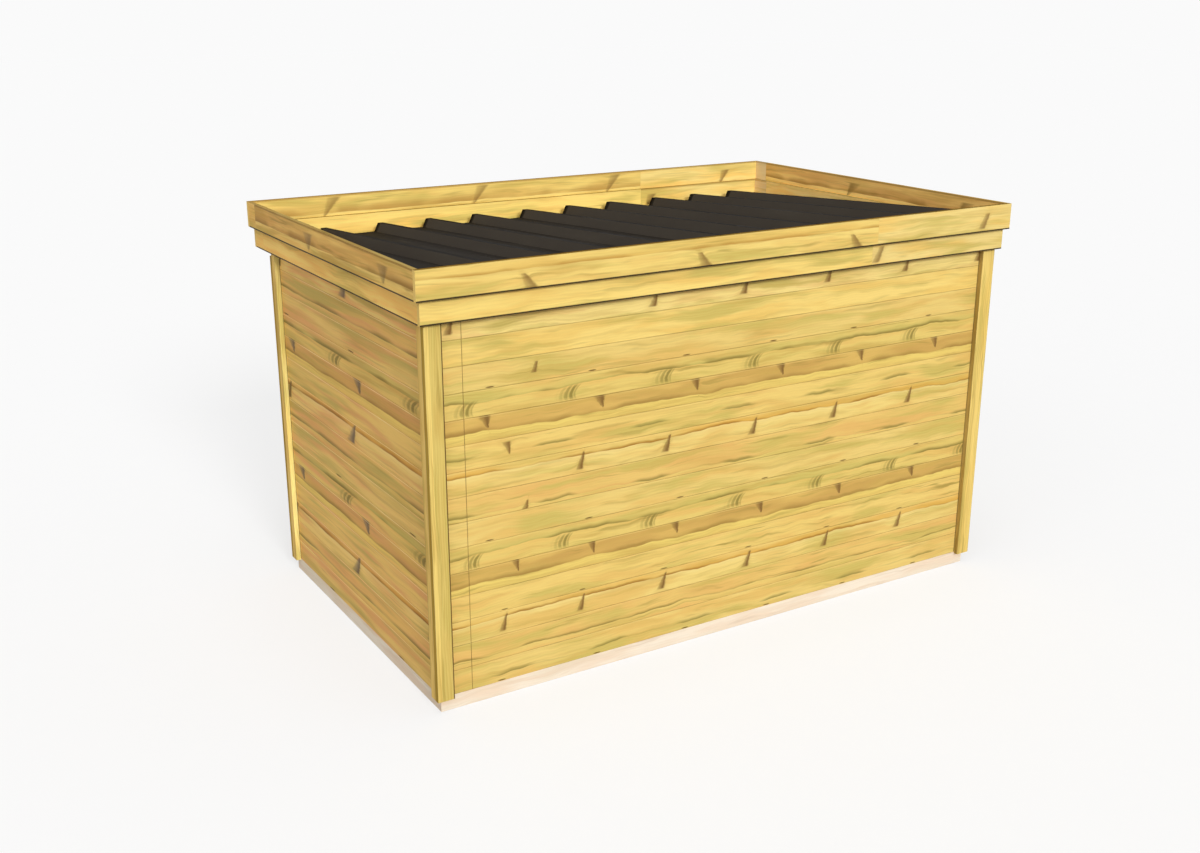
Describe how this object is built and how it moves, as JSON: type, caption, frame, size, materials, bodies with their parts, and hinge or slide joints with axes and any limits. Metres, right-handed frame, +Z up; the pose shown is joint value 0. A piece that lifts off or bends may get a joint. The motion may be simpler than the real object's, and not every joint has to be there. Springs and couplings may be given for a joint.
{
  "type": "garden shed",
  "caption": "Timber garden shed with tongued and grooved boards, stepped fascia, ribbed steel roof falling to the back and double doors in one end.",
  "frame": {"origin": "on the ground under the middle of the fascia's outline", "axes": "+X along the length towards the end with the doors, +Y from the high front wall to the back wall, +Z up"},
  "size_m": [3.284, 2.097, 1.977],
  "materials": {
    "wall_timber": "planed, pressure treated softwood boards with knots",
    "fascia_timber": "planed, pressure treated softwood",
    "corner_timber": "planed, pressure treated softwood",
    "floor_timber": "pale, rough sawn softwood",
    "deck_timber": "planed softwood boards",
    "frame_timber": "rough sawn softwood",
    "roof_steel": "matt dark brown-grey coated steel sheet",
    "roof_fixings": "satin coated hexagon heads and washers",
    "black_iron": "black powder coat",
    "zinc_steel": "bright zinc plate"
  },
  "bodies": {
    "shed": {"floor_joists": "frame_timber", "floor_rim": "floor_timber", "floor_boards": "deck_timber", "threshold": "frame_timber", "front_wall_frame": "frame_timber", "back_wall_frame": "frame_timber", "left_wall_frame": "frame_timber", "right_wall_frame": "frame_timber", "door_posts": "frame_timber", "front_wall_boards": "wall_timber", "front_makeup_boards": "wall_timber", "back_wall_boards": "wall_timber", "left_wall_boards": "wall_timber", "right_wall_boards": "wall_timber", "front_left_corner_board": "corner_timber", "front_right_corner_board": "corner_timber", "back_left_corner_board": "corner_timber", "back_right_corner_board": "corner_timber", "left_front_corner_strip": "corner_timber", "left_back_corner_strip": "corner_timber", "right_front_corner_strip": "corner_timber", "right_back_corner_strip": "corner_timber", "rafters": "frame_timber", "eaves_blocks": "frame_timber", "roof_battens": "frame_timber", "roof_sheet_1": "roof_steel", "roof_sheet_2": "roof_steel", "roof_sheet_3": "roof_steel", "roof_sheet_4": "roof_steel", "roof_screws": "roof_fixings", "fascia_battens": "frame_timber", "lower_fascia_front": "fascia_timber", "lower_fascia_back": "fascia_timber", "lower_fascia_left": "fascia_timber", "lower_fascia_right": "fascia_timber", "upper_fascia_front": "fascia_timber", "upper_fascia_back": "fascia_timber", "upper_fascia_left": "fascia_timber", "upper_fascia_right": "fascia_timber", "hinge_wall_plates": "black_iron", "hinge_pins": "zinc_steel", "hinge_wall_screws": "black_iron"},
    "front_door": {"front_door_boards": "wall_timber", "front_door_ledges": "frame_timber", "front_door_braces": "frame_timber", "front_door_straps": "black_iron", "front_door_screws": "black_iron", "door_handle": "black_iron", "pad_bolt_housing": "black_iron"},
    "back_door": {"back_door_boards": "wall_timber", "back_door_ledges": "frame_timber", "back_door_braces": "frame_timber", "back_door_straps": "black_iron", "back_door_screws": "black_iron", "pad_bolt_keep": "black_iron", "tower_bolt_housings": "black_iron"},
    "pad_bolt_rod": {"pad_bolt": "zinc_steel"},
    "top_bolt_rod": {"top_tower_bolt": "zinc_steel"},
    "bottom_bolt_rod": {"bottom_tower_bolt": "zinc_steel"}
  },
  "joints": [
    {"name": "front_door_hinge", "type": "hinge", "parent": "shed", "child": "front_door", "pos_m": [1.5799, -0.6825, 0.876], "axis": [0, 0, -1], "range_deg": [0, 160]},
    {"name": "back_door_hinge", "type": "hinge", "parent": "shed", "child": "back_door", "pos_m": [1.5799, 0.5505, 0.876], "axis": [0, 0, 1], "range_deg": [0, 160]},
    {"name": "pad_bolt_slide", "type": "slide", "parent": "front_door", "child": "pad_bolt_rod", "axis": [0, 1, 0], "range_m": [0, 0.025]},
    {"name": "top_bolt_slide", "type": "slide", "parent": "back_door", "child": "top_bolt_rod", "axis": [0, 0, 1], "range_m": [0, 0.025]},
    {"name": "bottom_bolt_slide", "type": "slide", "parent": "back_door", "child": "bottom_bolt_rod", "axis": [0, 0, -1], "range_m": [0, 0.025]}
  ]
}
